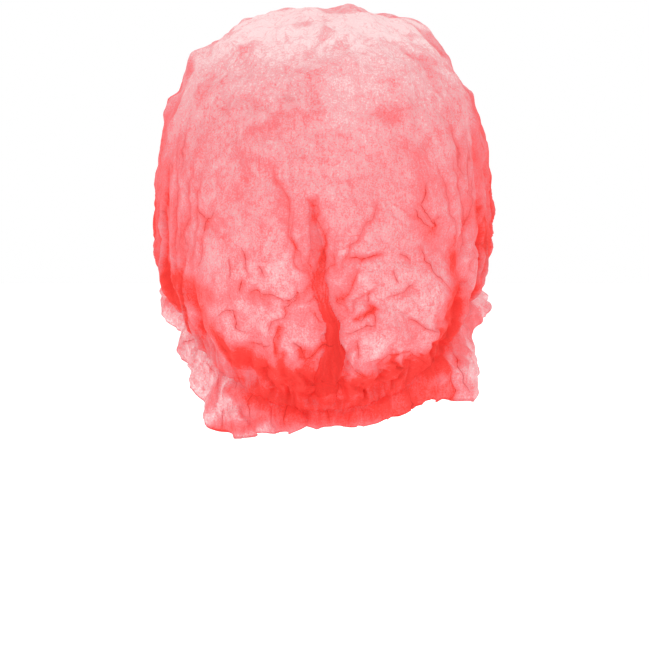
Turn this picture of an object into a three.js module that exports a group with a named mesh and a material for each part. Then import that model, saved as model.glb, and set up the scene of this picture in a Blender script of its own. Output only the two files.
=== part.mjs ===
// Disposable hair cap of thin red spunbond cloth, in the form that it has when worn.
// The cloth is pleated into a strip and opened out: a puffed crown, drawn in round the hairline by a
// gathered hem with elastic in it, a free frill outside the hem, and at the nape the bundle of pleats
// where the strip ends. The crown is hollow and open below, where the head goes in.
// Millimetres, +Z up. The forehead side faces -Y, the nape +Y, and the wearer's left +X.
// The origin is the middle of the head opening, level with the hem above the ears.
// Angles go round from the nape (0) over the wearer's left (90) to the forehead (180).
import * as THREE from "three";

// Driving sizes
const WALL = 1.0; // cloth wall
const GAP = 0.4; // clearance where two pieces meet
const COLUMNS = 108; // steps round the cap
const BACK_CROWDING = 0.35; // how much closer the steps lie at the nape than on average
const NORMAL_STEP = { angle: 1, share: 0.004 }; // degrees round and share up, for slopes of a surface

// Gathered hem: a ring that dips to the nape and rises to the forehead. It is thickest at half its
// height and edgeShare as thick along its edges.
const HEM = {
  halfWidth: 66,
  back: 80,
  front: 90,
  backDrop: 55,
  frontRise: 34,
  height: 12,
  thickness: 5.6,
  edgeShare: 0.6,
  ribs: 56,
  ribDepth: 0.9,
};
const HEM_LEVELS = [-1, -0.5, 0.5, 1]; // rows of the hem, in half heights from its middle

// Crown: widest at the belly, a superellipse above it and a tuck into the hem below it
const CROWN = {
  halfWidth: 88,
  back: 101,
  front: 104,
  top: 139.5,
  topShift: -4,
  bellyLiftBack: 62,
  bellyLiftSide: 26,
  bellyLiftFront: 27,
  bellyPower: 1.5,
  domePower: 2.55,
  tuckPower: 2.5,
  tuckTurn: 66,
  tuckRows: 6,
  domeRows: 10,
  tuckShare: 0.36,
  topRing: 0.975,
};

// Regular gathers of the crown above the hem, fading from share fadeLow to fadeHigh. They wander off an
// even spacing by up to wander radians, drifts times round, starting at driftFrom degrees.
const GATHERS = {
  count: 34,
  depth: 2.4,
  fadeLow: 0.02,
  fadeHigh: 0.3,
  wander: 1.4,
  drifts: 5,
  driftFrom: 40,
};
const HELD_SHARE = 0.05; // the hem holds the crown's edge smooth below this share

// Free frill outside the hem. Its waves wander as the gathers do.
const FRILL = {
  rows: 4,
  drop: 11,
  flare: 5.5,
  curl: 0.62,
  waves: 30,
  waveDepth: 2.2,
  wander: 1.2,
  drifts: 3,
};

// Main folds up the crown. angle and lean are degrees round, lean being the sideways drift from low to
// high; width is degrees; depth is mm, inwards; low and high are shares of the way from hem to top.
// A fold rises and falls over the stretches of its own length in FOLD_FADE.
const FOLD_FADE = { riseFrom: -0.1, riseTo: 0.25, fallFrom: 0.6, fallTo: 1.1 };
const FOLDS = [
  { angle: 17, lean: 7, width: 3.2, depth: 3.8, low: 0.0, high: 0.34 },
  { angle: 29, lean: -6, width: 3.4, depth: 3.4, low: 0.04, high: 0.3 },
  { angle: 44, lean: 5, width: 4.0, depth: 4.0, low: 0.06, high: 0.42 },
  { angle: 61, lean: 5, width: 4.2, depth: 4.2, low: 0.05, high: 0.56 },
  { angle: 74, lean: 3, width: 3.8, depth: 4.2, low: 0.05, high: 0.66 },
  { angle: 86, lean: 4, width: 3.8, depth: 3.6, low: 0.05, high: 0.72 },
  { angle: 99, lean: 3, width: 4.0, depth: 4.0, low: 0.08, high: 0.7 },
  { angle: 113, lean: 2, width: 4.4, depth: 3.4, low: 0.08, high: 0.6 },
  { angle: 130, lean: -3, width: 5.2, depth: 3.4, low: 0.08, high: 0.5 },
  { angle: 152, lean: -4, width: 5.6, depth: 3.6, low: 0.08, high: 0.52 },
  { angle: 178, lean: 5, width: 6.0, depth: 3.6, low: 0.08, high: 0.56 },
  { angle: -18, lean: -8, width: 3.2, depth: 3.6, low: 0.0, high: 0.32 },
  { angle: -33, lean: 6, width: 3.6, depth: 3.8, low: 0.04, high: 0.36 },
  { angle: -48, lean: -6, width: 4.0, depth: 4.2, low: 0.05, high: 0.48 },
  { angle: -63, lean: -4, width: 4.2, depth: 4.2, low: 0.05, high: 0.6 },
  { angle: -76, lean: -2, width: 3.8, depth: 3.6, low: 0.05, high: 0.7 },
  { angle: -89, lean: -4, width: 3.8, depth: 4.2, low: 0.06, high: 0.68 },
  { angle: -104, lean: -2, width: 4.2, depth: 3.6, low: 0.08, high: 0.62 },
  { angle: -123, lean: 3, width: 5.0, depth: 3.4, low: 0.08, high: 0.5 },
  { angle: -147, lean: 4, width: 5.6, depth: 3.6, low: 0.08, high: 0.54 },
];

// Puffs and dents of the crown: x is mm towards the wearer's left, share as above on the nape side (or
// the forehead side where front is 1), span mm across, height mm outwards
const PUFFS = [
  { x: -14, share: 0.955, front: 0, span: 10, height: 4.6 },
  { x: 17, share: 0.95, front: 1, span: 12, height: 2.4 },
  { x: -44, share: 0.86, front: 1, span: 14, height: 3.4 },
  { x: 44, share: 0.85, front: 0, span: 15, height: 2.6 },
  { x: 58, share: 0.8, front: 0, span: 14, height: -2.6 },
  { x: -62, share: 0.79, front: 1, span: 15, height: 3.0 },
  { x: -72, share: 0.66, front: 1, span: 12, height: -2.4 },
  { x: 74, share: 0.7, front: 1, span: 12, height: 3.0 },
  { x: 30, share: 0.7, front: 0, span: 20, height: -2.6 },
  { x: -30, share: 0.66, front: 0, span: 20, height: 2.6 },
  { x: 8, share: 0.74, front: 1, span: 24, height: -3.0 },
  { x: 36, share: 0.34, front: 0, span: 18, height: 2.8 },
  { x: -40, share: 0.26, front: 0, span: 18, height: 3.0 },
  { x: -6, share: 0.54, front: 0, span: 22, height: -2.2 },
];

// Lobes of the frill: spread is degrees either way, drop and flare are mm more than the plain frill's
const LOBES = [
  { angle: 46, spread: 20, drop: 15, flare: 4 },
  { angle: 68, spread: 8, drop: 2, flare: 1 },
  { angle: 93, spread: 10, drop: -5, flare: 15 },
  { angle: 0, spread: 16, drop: -7, flare: 0 },
  { angle: -28, spread: 14, drop: -2, flare: 0 },
  { angle: -64, spread: 12, drop: 18, flare: 12 },
  { angle: -91, spread: 9, drop: -5, flare: 15 },
  { angle: 128, spread: 12, drop: 2, flare: 1 },
  { angle: -134, spread: 12, drop: 2, flare: 1 },
];

// Bundle of pleats at the nape, from the hem upwards: share as above, shift mm towards the wearer's
// left, halfWidth and height mm
const BUNDLE = [
  { share: 0.06, shift: -2.0, halfWidth: 9.5, height: 5.5 },
  { share: 0.12, shift: -4.0, halfWidth: 7.0, height: 6.5 },
  { share: 0.19, shift: -3.5, halfWidth: 6.0, height: 6.5 },
  { share: 0.26, shift: 0.0, halfWidth: 5.5, height: 5.5 },
  { share: 0.33, shift: 4.0, halfWidth: 4.6, height: 4.0 },
  { share: 0.39, shift: 6.5, halfWidth: 3.4, height: 2.2 },
  { share: 0.45, shift: 8.0, halfWidth: 1.4, height: 0.4 },
];
const BUNDLE_STEPS = { up: 12, across: 10 };
// edge is the bundle's thickness along its sides; its pleats are cut pleatShare of its height deep.
// The crown is smooth under it, to clearAngle degrees either side and up to its end.
const BUNDLE_FORM = { pleats: 3, pleatShare: 0.5, edge: 0.6 };
const BUNDLE_SEAT = { clearAngle: 9, angleFade: 5, shareFade: 0.08 };

// One layer of cloth, and cloth that is gathered to many layers
const SHEET = { color: new THREE.Color("#f0413c"), roughness: 0.85, metalness: 0 };
const GATHERED = { color: new THREE.Color("#ec2b27"), roughness: 0.8, metalness: 0 };

const { degToRad: radians, radToDeg: degrees } = THREE.MathUtils;
const { smoothstep, lerp, clamp, euclideanModulo } = THREE.MathUtils;

// Signed difference between two angles in degrees, from -180 to 180
const turnBetween = (a, b) => euclideanModulo(a - b + 180, 360) - 180;

// Bell that is 1 at 0 and about 0.02 at twice the width
const bell = (distance, width) => Math.exp(-((distance / width) ** 2));

// Wave round the cap whose spacing wanders
function wanderingWave(angle, count, { wander, drifts, driftFrom = 0 }) {
  return Math.cos(count * radians(angle) + wander * Math.sin(radians(drifts * angle + driftFrom)));
}

// Angle in degrees of a step round the cap, with the steps crowded at the nape
function columnAngle(column) {
  const turn = (2 * Math.PI * column) / COLUMNS;
  return degrees(turn - BACK_CROWDING * Math.sin(turn));
}

// Point of a level ring whose depth differs at the back and the front
function ringPoint(angle, { halfWidth, back, front }, z = 0) {
  const towardsBack = Math.cos(radians(angle));
  const depth = towardsBack > 0 ? back : front;
  return new THREE.Vector3(halfWidth * Math.sin(radians(angle)), depth * towardsBack, z);
}

// Height of the middle of the hem: one smooth curve through its levels at the nape, sides and forehead
function hemHeight(angle) {
  const towardsBack = Math.cos(radians(angle));
  const slope = (HEM.backDrop + HEM.frontRise) / 2;
  const bend = (HEM.backDrop - HEM.frontRise) / 2;
  return -towardsBack * (slope + bend * towardsBack);
}

// Level direction away from the head at an angle round the hem
function outwards(angle) {
  const ahead = ringPoint(angle + NORMAL_STEP.angle, HEM);
  const along = ahead.sub(ringPoint(angle - NORMAL_STEP.angle, HEM)).normalize();
  return new THREE.Vector3(-along.y, along.x, 0);
}

// Height of the crown's widest line
function bellyHeight(angle) {
  const towardsBack = Math.cos(radians(angle));
  const end = towardsBack > 0 ? CROWN.bellyLiftBack : CROWN.bellyLiftFront;
  return hemHeight(angle) + lerp(CROWN.bellyLiftSide, end, Math.abs(towardsBack) ** CROWN.bellyPower);
}

// Superellipse rounding of a sine or cosine in the tuck
const rounded = (value) => value ** (2 / CROWN.tuckPower);

// Smooth crown: below tuckShare a rounded tuck from hem to belly, above it a superellipse dome
function plainCrown(angle, share) {
  const belly = ringPoint(angle, CROWN, bellyHeight(angle));
  if (share < CROWN.tuckShare) {
    const rim = ringPoint(angle, HEM, hemHeight(angle) + HEM.height / 2 + GAP);
    const wholeTurn = radians(CROWN.tuckTurn);
    const turn = (1 - share / CROWN.tuckShare) * wholeTurn;
    const inwards = (1 - rounded(Math.cos(turn))) / (1 - rounded(Math.cos(wholeTurn)));
    const down = rounded(Math.sin(turn)) / rounded(Math.sin(wholeTurn));
    return new THREE.Vector3(
      lerp(belly.x, rim.x, inwards),
      lerp(belly.y, rim.y, inwards),
      lerp(belly.z, rim.z, down),
    );
  }
  const turn = ((share - CROWN.tuckShare) / (1 - CROWN.tuckShare)) * (Math.PI / 2);
  const out = Math.max(Math.cos(turn), 0) ** (2 / CROWN.domePower);
  const up = Math.sin(turn) ** (2 / CROWN.domePower);
  return new THREE.Vector3(
    belly.x * out,
    lerp(CROWN.topShift, belly.y, out),
    lerp(belly.z, CROWN.top, up),
  );
}

// Outward normal of the smooth crown
function plainNormal(angle, share) {
  const low = Math.max(share - NORMAL_STEP.share, 0);
  const high = Math.min(share + NORMAL_STEP.share, 1 - NORMAL_STEP.share);
  const ahead = plainCrown(angle + NORMAL_STEP.angle, share);
  const along = ahead.sub(plainCrown(angle - NORMAL_STEP.angle, share));
  const up = plainCrown(angle, high).sub(plainCrown(angle, low));
  return up.cross(along).normalize();
}

// How much of the relief is kept: none at the hem and under the bundle
function reliefShare(angle, share) {
  const { clearAngle, angleFade, shareFade } = BUNDLE_SEAT;
  const bundleTop = BUNDLE[BUNDLE.length - 1].share;
  const beside = smoothstep(Math.abs(turnBetween(angle, 0)), clearAngle, clearAngle + angleFade);
  const above = smoothstep(share, bundleTop, bundleTop + shareFade);
  return (1 - (1 - beside) * (1 - above)) * smoothstep(share, 0, HELD_SHARE);
}

// How far gathers, folds and puffs move the crown outwards
function crownRelief(angle, share, point) {
  const gather = 0.5 - 0.5 * wanderingWave(angle, GATHERS.count, GATHERS);
  let relief = -GATHERS.depth * gather * (1 - smoothstep(share, GATHERS.fadeLow, GATHERS.fadeHigh));
  for (const fold of FOLDS) {
    const along = (share - fold.low) / (fold.high - fold.low);
    const off = turnBetween(angle, fold.angle + fold.lean * along);
    const rise = smoothstep(along, FOLD_FADE.riseFrom, FOLD_FADE.riseTo);
    const fall = smoothstep(along, FOLD_FADE.fallFrom, FOLD_FADE.fallTo);
    relief -= fold.depth * rise * (1 - fall) * bell(off, fold.width);
  }
  for (const puff of PUFFS) {
    const centre = plainCrown(puffAngle(puff), puff.share);
    relief += puff.height * bell(point.distanceTo(centre), puff.span);
  }
  return relief * reliefShare(angle, share);
}

// Angle round the cap at which a puff's x lies at its share
function puffAngle({ x, share, front }) {
  const reach = plainCrown(90, share).x;
  const side = degrees(Math.asin(clamp(x / reach, -1, 1)));
  return front ? 180 - side : side;
}

// Crown with its relief
function crownPoint(angle, share) {
  const point = plainCrown(angle, share);
  const relief = crownRelief(angle, share, point);
  return point.addScaledVector(plainNormal(angle, share), relief);
}

// Sum of the lobes at an angle, for one of their columns
function lobeSum(angle, key) {
  let sum = 0;
  for (const lobe of LOBES) sum += lobe[key] * bell(turnBetween(angle, lobe.angle), lobe.spread);
  return sum;
}

// Frill, along 0 at the hem and 1 at the free edge: it swings out, curls back under and ripples
function frillPoint(angle, along) {
  const drop = FRILL.drop + lobeSum(angle, "drop");
  const flare = FRILL.flare + lobeSum(angle, "flare");
  const ripple = FRILL.waveDepth * wanderingWave(angle, FRILL.waves, FRILL) * along;
  const out = flare * Math.sin(Math.PI * FRILL.curl * along) + ripple;
  const z = hemHeight(angle) - HEM.height / 2 - GAP - drop * along;
  return ringPoint(angle, HEM, z).addScaledVector(outwards(angle), out + WALL / 2);
}

// Outward normals of a grid of points; rows go up and columns go round
function gridNormals(grid, round) {
  return grid.map((row, i) =>
    row.map((_, j) => {
      const last = row.length - 1;
      const next = round ? (j + 1) % row.length : Math.min(j + 1, last);
      const previous = round ? (j + last) % row.length : Math.max(j - 1, 0);
      const up = grid[Math.min(i + 1, grid.length - 1)][j].clone().sub(grid[Math.max(i - 1, 0)][j]);
      return up.cross(row[next].clone().sub(row[previous])).normalize();
    }),
  );
}

// A grid moved along its normals
function movedGrid(grid, normals, distance) {
  return grid.map((row, i) => row.map((p, j) => p.clone().addScaledVector(normals[i][j], distance)));
}

// Closed solid between an outer and an inner grid of the same size. round joins the last column to the
// first, and tops, where given, are the outer and inner points that close the grids above.
function solidBetween(outer, inner, { round, tops }) {
  const rows = outer.length;
  const columns = outer[0].length;
  const positions = [...outer.flat(), ...inner.flat(), ...(tops ?? [])].flatMap((p) => p.toArray());
  const at = (i, j) => i * columns + (j % columns);
  const innerAt = (i, j) => rows * columns + at(i, j);
  const faces = [];
  const quad = (a, b, c, d) => faces.push(a, b, c, a, c, d);
  const spans = round ? columns : columns - 1;
  for (let j = 0; j < spans; j++) {
    for (let i = 0; i < rows - 1; i++) {
      quad(at(i, j), at(i + 1, j), at(i + 1, j + 1), at(i, j + 1));
      quad(innerAt(i, j), innerAt(i, j + 1), innerAt(i + 1, j + 1), innerAt(i + 1, j));
    }
    quad(at(0, j), at(0, j + 1), innerAt(0, j + 1), innerAt(0, j));
    if (tops) {
      const outerTop = 2 * rows * columns;
      faces.push(at(rows - 1, j), outerTop, at(rows - 1, j + 1));
      faces.push(innerAt(rows - 1, j), innerAt(rows - 1, j + 1), outerTop + 1);
    } else {
      const top = rows - 1;
      quad(at(top, j), innerAt(top, j), innerAt(top, j + 1), at(top, j + 1));
    }
  }
  if (!round) {
    const end = columns - 1;
    for (let i = 0; i < rows - 1; i++) {
      quad(at(i, 0), innerAt(i, 0), innerAt(i + 1, 0), at(i + 1, 0));
      quad(at(i, end), at(i + 1, end), innerAt(i + 1, end), innerAt(i, end));
    }
  }
  const geometry = new THREE.BufferGeometry();
  geometry.setAttribute("position", new THREE.Float32BufferAttribute(positions, 3));
  geometry.setIndex(faces);
  geometry.computeVertexNormals();
  return geometry;
}

// Grid of points from a function of angle and share, once round the cap
function roundGrid(shares, pointAt) {
  const angles = Array.from({ length: COLUMNS }, (_, column) => columnAngle(column));
  return shares.map((share) => angles.map((angle) => pointAt(angle, share)));
}

// Even shares from a first value, in a number of steps
const evenShares = (first, last, steps) =>
  Array.from({ length: steps + 1 }, (_, k) => lerp(first, last, k / steps));

function makeCrown() {
  const tuck = evenShares(0, CROWN.tuckShare, CROWN.tuckRows);
  const dome = evenShares(CROWN.tuckShare, 1, CROWN.domeRows).slice(1, -1);
  const outer = roundGrid([...tuck, ...dome, CROWN.topRing], crownPoint);
  const inner = movedGrid(outer, gridNormals(outer, true), -WALL);
  // The cut edge keeps to one height, clear of the hem
  inner[0].forEach((p, j) => p.setZ(outer[0][j].z));
  const top = crownPoint(0, 1);
  const tops = [top, top.clone().setZ(top.z - WALL)];
  return solidBetween(outer, inner, { round: true, tops });
}

function makeHem() {
  const face = (side) => (angle, level) => {
    const fromEdge = 1 - level * level;
    const rib = HEM.ribDepth * Math.cos(HEM.ribs * radians(angle)) * fromEdge;
    const swell = lerp(HEM.edgeShare, 1, Math.sqrt(fromEdge));
    const out = side * (HEM.thickness / 2) * swell + rib;
    const z = hemHeight(angle) + (level * HEM.height) / 2;
    return ringPoint(angle, HEM, z).addScaledVector(outwards(angle), out);
  };
  return solidBetween(roundGrid(HEM_LEVELS, face(1)), roundGrid(HEM_LEVELS, face(-1)), { round: true });
}

function makeFrill() {
  const outer = roundGrid(evenShares(1, 0, FRILL.rows), frillPoint);
  const inner = movedGrid(outer, gridNormals(outer, true), -WALL);
  // The edge at the hem keeps to one height, clear of it
  inner[FRILL.rows].forEach((p, j) => p.setZ(outer[FRILL.rows][j].z));
  return solidBetween(outer, inner, { round: true });
}

// A column of the bundle's table at a share between its rows
function bundleAt(share, key) {
  const above = Math.max(1, BUNDLE.findIndex((row) => row.share >= share));
  const [low, high] = [BUNDLE[above - 1], BUNDLE[above]];
  return lerp(low[key], high[key], (share - low.share) / (high.share - low.share));
}

// Bundle of pleats seated on the crown: ribs across, higher in the middle
function makeBundle() {
  const shares = evenShares(BUNDLE[0].share, BUNDLE[BUNDLE.length - 1].share, BUNDLE_STEPS.up);
  const acrosses = evenShares(-1, 1, BUNDLE_STEPS.across);
  const angleAt = (share, across) => {
    const x = bundleAt(share, "shift") + across * bundleAt(share, "halfWidth");
    return degrees(Math.asin(x / CROWN.halfWidth));
  };
  const lifted = (heightAt) =>
    shares.map((share) =>
      acrosses.map((across) => {
        const angle = angleAt(share, across);
        const normal = plainNormal(angle, share);
        return crownPoint(angle, share).addScaledVector(normal, heightAt(share, across));
      }),
    );
  const top = lifted((share, across) => {
    const valley = 0.5 - 0.5 * Math.cos(2 * Math.PI * BUNDLE_FORM.pleats * across);
    const pleat = 1 - BUNDLE_FORM.pleatShare * valley;
    return GAP + BUNDLE_FORM.edge + bundleAt(share, "height") * pleat * (1 - across * across);
  });
  return solidBetween(top, lifted(() => GAP), { round: false });
}

// Named mesh of one piece
function piece(name, geometry, finish) {
  const mesh = new THREE.Mesh(geometry, new THREE.MeshStandardMaterial(finish));
  mesh.name = name;
  return mesh;
}

const hairnet = new THREE.Group();
hairnet.add(
  piece("crown", makeCrown(), SHEET),
  piece("elastic_hem", makeHem(), GATHERED),
  piece("frill", makeFrill(), SHEET),
  piece("back_gather", makeBundle(), GATHERED),
);

export default hairnet;
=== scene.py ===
"""Looks of a disposable hair cap of thin red spunbond cloth, in the form that it has when worn.

Shapes are worked out in millimetres in the part's own frame: +Z up, the forehead towards -Y, the nape
towards +Y, the wearer's left towards +X. Angles go round from the nape over the wearer's left to the
forehead. A share goes from 0 at the hem to 1 at the top of the crown.

Every vertex carries three attributes that the cloth's material reads: "layers", the number of layers of
cloth that lie there, one where the sheet is plain and many where it is gathered; "shade", painted shade
in soft creases, hollows and edges, from 0 to 1; and "line", the step in mm from the nearest sharp
crease, with the painted shade of that crease.
"""
import math
from collections import namedtuple
from types import SimpleNamespace

import bpy
import numpy as np
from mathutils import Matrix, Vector


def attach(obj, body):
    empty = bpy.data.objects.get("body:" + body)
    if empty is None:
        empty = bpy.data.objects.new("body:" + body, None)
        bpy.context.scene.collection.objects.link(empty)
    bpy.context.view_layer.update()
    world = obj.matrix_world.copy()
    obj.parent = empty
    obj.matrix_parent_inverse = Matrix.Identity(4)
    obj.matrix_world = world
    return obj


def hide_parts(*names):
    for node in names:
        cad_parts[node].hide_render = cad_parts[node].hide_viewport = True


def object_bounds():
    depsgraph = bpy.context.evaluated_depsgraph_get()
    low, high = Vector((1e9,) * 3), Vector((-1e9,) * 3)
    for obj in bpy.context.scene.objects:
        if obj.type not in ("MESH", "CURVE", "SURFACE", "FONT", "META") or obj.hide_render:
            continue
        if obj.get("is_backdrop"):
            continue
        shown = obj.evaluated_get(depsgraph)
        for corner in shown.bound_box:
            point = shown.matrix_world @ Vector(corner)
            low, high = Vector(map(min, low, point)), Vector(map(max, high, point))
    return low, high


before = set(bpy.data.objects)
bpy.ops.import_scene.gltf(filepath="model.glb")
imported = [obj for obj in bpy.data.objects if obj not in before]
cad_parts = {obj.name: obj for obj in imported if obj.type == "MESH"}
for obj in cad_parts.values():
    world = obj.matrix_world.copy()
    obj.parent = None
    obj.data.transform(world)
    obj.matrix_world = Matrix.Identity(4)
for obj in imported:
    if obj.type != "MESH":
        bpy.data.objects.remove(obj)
cad_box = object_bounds()

MM = 0.001

# The photograph's camera: it looks at the nape from a little above
PHOTO_SIDE = 649  # pixels
PIXEL = 0.515  # mm in the cap's middle plane
VIEW_DISTANCE = 1000.0
VIEW_RISE = math.radians(3)
VIEW_TARGET = np.array((-0.8, 0.0, -20.3))
SENSOR = 36.0

# The smooth form, as in the part
HEM = SimpleNamespace(
    half_width=66, back=80, front=90, back_drop=55, front_rise=34, height=12, thickness=5.6
)
CROWN = SimpleNamespace(
    half_width=88, back=101, front=104, top=139.5, top_shift=-4, lift_back=62, lift_side=26,
    lift_front=27, lift_power=1.5, dome_power=2.55, tuck_power=2.5, tuck_turn=math.radians(66),
    tuck_share=0.36,
)
GATHERS = SimpleNamespace(count=34, depth=2.4, fade=(0.02, 0.3), wander=1.4, drifts=5, start=40)
FRILL = SimpleNamespace(
    drop=11, flare=5.5, curl=0.62, waves=30, wave_depth=2.2, wander=1.2, drifts=3, start=0
)
HELD_SHARE = 0.05  # the hem holds the crown's folds flat below this share
# The crown's edge and the frill's edge meet on the outside of the hem: mm below its middle, and out
LAP = SimpleNamespace(below=1.5, out=3.9)

# Grids: rows up, columns round, with the columns crowded at the nape
CROWN_ROWS = 216
CROWN_COLUMNS = 456
CROWN_CROWDING = 0.58
TOP_SHARE = 0.9965  # share of the highest row
LOW_PART = 0.36  # share of the cloth's length, above the hem, where the rows are close
LOW_ROWS = 0.58  # share of the rows that lie there
FRILL_ROWS = 30
FRILL_COLUMNS = 1500
FRILL_CROWDING = 0.3
HEM_ROWS = 18
HEM_COLUMNS = 1300

# The nape side, where the photograph's lines are drawn, begins between these y; the heaps along the hem
# change from the plain front's to the nape's between the others
NAPE = (0, 40)
NAPE_HEAPS = (-20, 20)

# Random folds of a crumpled sheet: width and depth in mm, and how dark the crease is
CROWN_CRUMPLE = (
    (31, 1.5, 0.9), (23, 1.2, 1.0), (17, 1.0, 0.9), (12, 0.7, 0.8), (9, 0.5, 0.6), (6, 0.4, 0.4)
)
FRILL_CRUMPLE = ((17, 1.4, 1.0), (11, 1.0, 0.9), (8, 0.7, 0.7), (5, 0.5, 0.5))
CREASE_WIDTH = 0.8  # mm
SLIDE = 0.3  # share of a fold's width
CROWN_CRUMPLE_SEED = 11
FRILL_CRUMPLE_SEED = 17
BENT = 0.6  # how far the main folds follow the crumple's zigzags
DRAWN_BENT = 0.4  # how far the drawn lines do
# Loose cloth takes the whole crumple: the least share of it that tight cloth takes, the field that says
# where it is loose, the mm above the hem where it is, and the part lost between two shares near the top
LOOSE = SimpleNamespace(
    least=0.35, field=((1.0, 42, 3),), begin=(-0.3, 0.5), above_hem=(12, 45), loss=0.25, top=(0.55, 0.95)
)
# Random narrow folds: angle and its spread, lean and width in degrees, depth in mm, shares that they
# reach, and how much further at the sides
FINE_PLEATS = SimpleNamespace(
    count=190, seed=5, angle=74, spread=30, lean=7, width=(0.5, 1.2), depth=(0.6, 1.5), reach=(0.1, 0.26),
    side_reach=0.5, side_vary=(0.3, 1),
)
# Layers that a main fold, a fine pleat, a crumple's crease and a cloudy patch add, and the soft shade of
# the crumple's creases
FOLD_LAYERS = 0.5
PLEAT_LAYERS = 1.2
CRUMPLE_LAYERS = 0.35
PATCH_LAYERS = 0.7
CRUMPLE_SHADE = 0.12
GATHER_COUNT = 120  # close gathers round the hem
# The gathers that the hem holds: mm above it where they fade, their depth, the cloth's puff over them in
# mm, and the layers that they take away
HELD = SimpleNamespace(reach=(6, 26), depth=0.2, puff=0.4, layers=0.2)
# Ruffles of the frill: depth in mm, the part lost where a lobe opens, the shares of the frill's depth
# where the ruffles and its billows begin, and how much of the crumple it takes
RUFFLES = SimpleNamespace(count=30, depth=1.3, opening=0.7, begin=0.35, billow_begin=0.3, crumple=1.2)

# The bundle's pleats: wander in mm; layers of a pleat at its low and high end, of its streaks, and of a
# thin and a solid one, which is this high in mm; soft shade of its streaks and its edges; rounds of
# smoothing; mm by which its edges lie under the crown and its middle over it; layers over the crown's
BUNDLE = SimpleNamespace(
    wander=1.8, foot=4.2, low=5.4, high=2.6, streaks=0.8, thin=0.7, solid=1.3, height=(1.0, 3.5),
    thin_part=0.25, shade=0.15, smoothing=5, under=-0.6, over=0.4, more=0.4,
)
WANDER_SIZE = 6  # mm
WANDER_SEEDS = (60, 61, 62)

# Sums of random fields: strength, size in mm, seed
CROWN_RELIEF = ((2.0, 13, 4), (1.5, 6, 6))
RELIEF_BEGIN = (0.3, 0.6)  # shares
CROWN_EDGES = ((0.35, 10, 8), (0.25, 4, 9))
CROWN_PATCHES = ((0.8, 14, 23), (0.7, 6, 24), (0.4, 3, 25))
CROWN_MOTTLE = ((0.15, 8, 21), (0.15, 3, 22))
PATCHES_BEGIN = (-0.2, 1.2)
CROWN_FRONT_HEAP = ((1.2, 9, 26),)
CROWN_NAPE_HEAP = ((0.2, 7, 27),)
GATHER_DRIFT = ((3.0, 17, 28), (1.5, 7, 29))
GATHER_PUFFS = ((1.2, 6, 30),)
HEM_DRIFT = ((2.0, 16, 45),)
HEM_LEAN = ((1.8, 9, 40),)
HEM_BUMPS = ((0.8, 13, 42),)
HEM_WRINKLES = ((1.3, 6, 41),)
HEM_HEAP_EDGES = ((0.3, 8, 43),)
HEM_FRONT_HEAP = ((0.9, 12, 44),)
FRILL_EDGE = ((1.8, 9, 31), (1.6, 4, 32))
FRILL_BILLOW = ((2.0, 15, 48), (1.2, 7, 49))
FRILL_HEAP_EDGES = ((0.3, 9, 34), (0.25, 4, 47))
FRILL_NAPE_HEAP = ((0.2, 6, 46),)
FRILL_MOTTLE = ((0.25, 6, 35),)
RUFFLE_LEAN = ((2.5, 30, 39),)
RUFFLE_DRIFT = ((4.0, 19, 36), (2.5, 8, 37))
RUFFLE_DEPTHS = ((0.6, 14, 38),)
BUNDLE_MOTTLE = ((0.6, 6, 52),)
BUNDLE_STREAKS = ((5.0, 9, 63),)

# Layers heaped along the hem on the plain front, at the crown, frill and hem, and how far they reach in mm
FRONT_HEAP = SimpleNamespace(crown=2.8, reach=12, frill=2.2, frill_reach=8, hem=3.0)
# Layers and soft shade of the frill's free edge, and the share of its depth where the edge begins
FREE_EDGE = SimpleNamespace(layers=1.2, begin=0.93, shade=0.6, shade_begin=0.94)

# Fewest layers of each piece, and the shares between which the crown's change
THINNEST = SimpleNamespace(low_crown=1.15, crown=0.25, change=(0.4, 0.65), frill=0.7, hem=1.6, bundle=0.8)
# Density up the crown: layers added, and the shares between which the change comes. They make the middle
# denser and the top paler: the denser middle is painted shade, and the paler top is partly thinner cloth
# and partly painted light from above.
CROWN_TONES_AND_PAINTED_LIGHT = ((0.2, 0.34, 0.44), (-0.44, 0.5, 0.64), (-0.78, 0.6, 0.85))
# Long pleats crowd at the two sides: the sine of the angle at which they begin low down and high up, the
# layers they add, how much these vary in streaks, the part that is lost high up, and the shares between
# which they begin to narrow, thin out and end
SIDES = SimpleNamespace(
    low=0.82, high=0.92, layers=1.05, streaks=0.7, ragged=0.05, loss=0.15, narrow=(0.4, 0.6),
    thin=(0.45, 0.8), end=(0.84, 0.96),
)
UPRIGHT = (1.0, 1.0, 0.16)  # squeezes the height, so that a random field becomes upright streaks
SIDE_STREAKS = ((1.0, 5, 80),)
SIDE_BLOTCHES = ((0.6, 16, 81),)
# The top of the crown is denser again: layers added, and the shares between which it begins
TOP = SimpleNamespace(layers=0.8, begin=(0.84, 0.95))
TOP_EDGE = ((0.04, 12, 50),)

# How a table of lines is drawn: wander in pixels, painted shade from 0 to 1, layers of cloth in a strip
# along the line and its half width in mm, layers in a wide halo, and the rise of a ridge in mm
LineLook = namedtuple("LineLook", "wander shade heap width halo ridge")
CREASE_LOOK = LineLook(wander=1.2, shade=0.85, heap=0.9, width=1.1, halo=0.4, ridge=0.5)
STRAND_LOOK = LineLook(wander=6.0, shade=0.45, heap=1.0, width=1.2, halo=0.35, ridge=0.7)
SIDE_PLEAT_LOOK = LineLook(wander=2.0, shade=0.4, heap=0.9, width=1.2, halo=0.2, ridge=-0.8)
FRILL_CREASE_LOOK = LineLook(wander=0.0, shade=0.9, heap=0.6, width=1.0, halo=0.3, ridge=0.0)
LINE_WANDER_SIZE = 5  # mm
LINE_WANDER_SEEDS = (70, 71)
RIDGE_WIDTH = 1.6  # mm
HALO_REACH = 3.0  # mm
LINE_REACH = (1.2, 2.4)  # mm from a line where its darkness fades out
NO_LINE = (9.0, 9.0, 0.0)  # step in mm from a crease that is far away, and its darkness

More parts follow.
